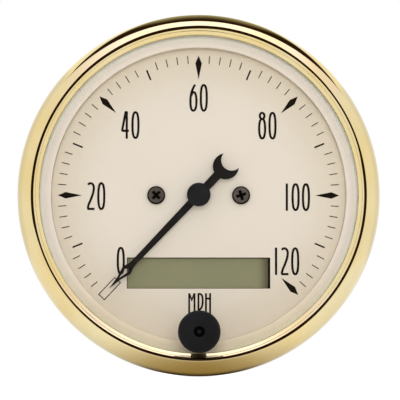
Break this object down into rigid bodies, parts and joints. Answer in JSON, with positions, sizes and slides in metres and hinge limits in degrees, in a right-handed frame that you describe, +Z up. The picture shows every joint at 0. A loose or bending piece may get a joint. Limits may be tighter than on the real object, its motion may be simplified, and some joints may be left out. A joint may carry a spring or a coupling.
{
  "type": "speedometer",
  "caption": "Round panel-mount speedometer with a polished gold bezel, cream dial, openwork pointer, display window, push button and rear clamp bracket.",
  "frame": {"origin": "on the gauge's axis, in the plane of the bezel's rear face that seats on the panel", "axes": "+X right as the driver sees the dial, +Y backwards into the panel along the gauge's axis, +Z up; the dial faces -Y"},
  "size_m": [0.086, 0.0932, 0.086],
  "materials": {
    "gold_bezel": "polished gold plate on drawn brass",
    "clear_lens": "clear, flat, gloss",
    "black_rubber": "matte moulded rubber",
    "cream_plastic": "smooth satin moulding",
    "cream_dial": "matte cream paint on sheet",
    "dial_ink": "screen-printed matte ink",
    "black_screw": "black oxide",
    "black_pointer": "matte black paint on sheet",
    "pointer_plastic": "matte black moulding",
    "bright_steel": "ground steel",
    "brass": "turned brass",
    "magnet": "sintered magnet",
    "dark_plastic": "glass-filled moulding",
    "copper_wire": "enamelled copper winding",
    "white_plastic": "white light-spreading moulding",
    "lcd_glass": "grey-green liquid-crystal glass",
    "contact_rubber": "layered conductive rubber",
    "circuit_board": "green solder mask",
    "tinned_metal": "tinned brass",
    "component_black": "moulded epoxy",
    "capacitor_sleeve": "dark blue shrink sleeve",
    "zinc_steel": "clear zinc plate",
    "button_plastic": "black moulding, satin",
    "spring_steel": "drawn spring wire",
    "acetal": "natural acetal",
    "case_paint": "satin black paint",
    "lamp_glass": "clear bulb glass"
  },
  "bodies": {
    "housing": {"bezel": "gold_bezel", "lens": "clear_lens", "lens_gasket": "black_rubber", "spacer_ring": "cream_plastic", "dial": "cream_dial", "scale_markings": "dial_ink", "dial_screws": "black_screw", "hairspring": "spring_steel", "bobbin_front": "dark_plastic", "bobbin_rear": "dark_plastic", "cosine_coil": "copper_wire", "sine_coil": "copper_wire", "shield_can": "bright_steel", "movement_bridge": "white_plastic", "front_bearing": "brass", "rear_bearing": "brass", "light_diffuser": "white_plastic", "lcd_panel": "lcd_glass", "lcd_holder": "dark_plastic", "contact_strips": "contact_rubber", "display_board": "circuit_board", "display_pins": "tinned_metal", "main_board": "circuit_board", "microcontroller": "component_black", "capacitors": "capacitor_sleeve", "voltage_regulator": "component_black", "crystal": "bright_steel", "front_pillars": "acetal", "rear_pillars": "zinc_steel", "pillar_screws": "zinc_steel", "stem_bush": "acetal", "reset_spring": "spring_steel", "spring_seat": "zinc_steel", "reset_switch": "component_black", "case": "case_paint", "terminal_block": "dark_plastic", "blade_terminals": "tinned_metal", "terminal_leads": "copper_wire", "mounting_studs": "zinc_steel", "stud_nuts": "zinc_steel"},
    "pointer_assembly": {"pointer": "black_pointer", "pointer_cap": "pointer_plastic", "pointer_hub": "pointer_plastic", "spindle": "bright_steel", "hairspring_collet": "brass", "rotor_magnet": "magnet"},
    "reset_button": {"reset_knob": "button_plastic", "reset_stem": "dark_plastic"},
    "switch_key": {"switch_plunger": "acetal"},
    "lamp_unit_left": {"lamp_socket_left": "dark_plastic", "lamp_left": "lamp_glass"},
    "lamp_unit_right": {"lamp_socket_right": "dark_plastic", "lamp_right": "lamp_glass"},
    "bracket_set": {"mounting_bracket": "zinc_steel", "lock_washers": "zinc_steel", "bracket_nuts": "zinc_steel"}
  },
  "joints": [
    {"name": "pointer_sweep", "type": "hinge", "parent": "housing", "child": "pointer_assembly", "pos_m": [0, 0, 0], "axis": [0, 1, 0], "range_deg": [0, 271.4], "stiffness_Nm_per_rad": 0.000002, "springref_deg": -8.59, "deforming": ["hairspring"]},
    {"name": "reset_press", "type": "slide", "parent": "housing", "child": "reset_button", "axis": [0, 1, 0], "range_m": [0, 0.0009], "stiffness_N_per_m": 800, "springref_m": -0.002, "deforming": ["reset_spring"]},
    {"name": "switch_press", "type": "slide", "parent": "housing", "child": "switch_key", "axis": [0, 1, 0], "range_m": [0, 0.0009]},
    {"name": "lamp_left_twist", "type": "hinge", "parent": "housing", "child": "lamp_unit_left", "pos_m": [-0.02, 0.058, 0.021], "axis": [0, 1, 0], "range_deg": [0, 45]},
    {"name": "lamp_right_twist", "type": "hinge", "parent": "housing", "child": "lamp_unit_right", "pos_m": [0.02, 0.058, 0.021], "axis": [0, 1, 0], "range_deg": [0, 45]},
    {"name": "bracket_off", "type": "slide", "parent": "housing", "child": "bracket_set", "axis": [0, 1, 0], "range_m": [0, 0.082]}
  ],
  "couplings": [
    {"joint": "switch_press", "follows": "reset_press", "ratio": 1}
  ]
}
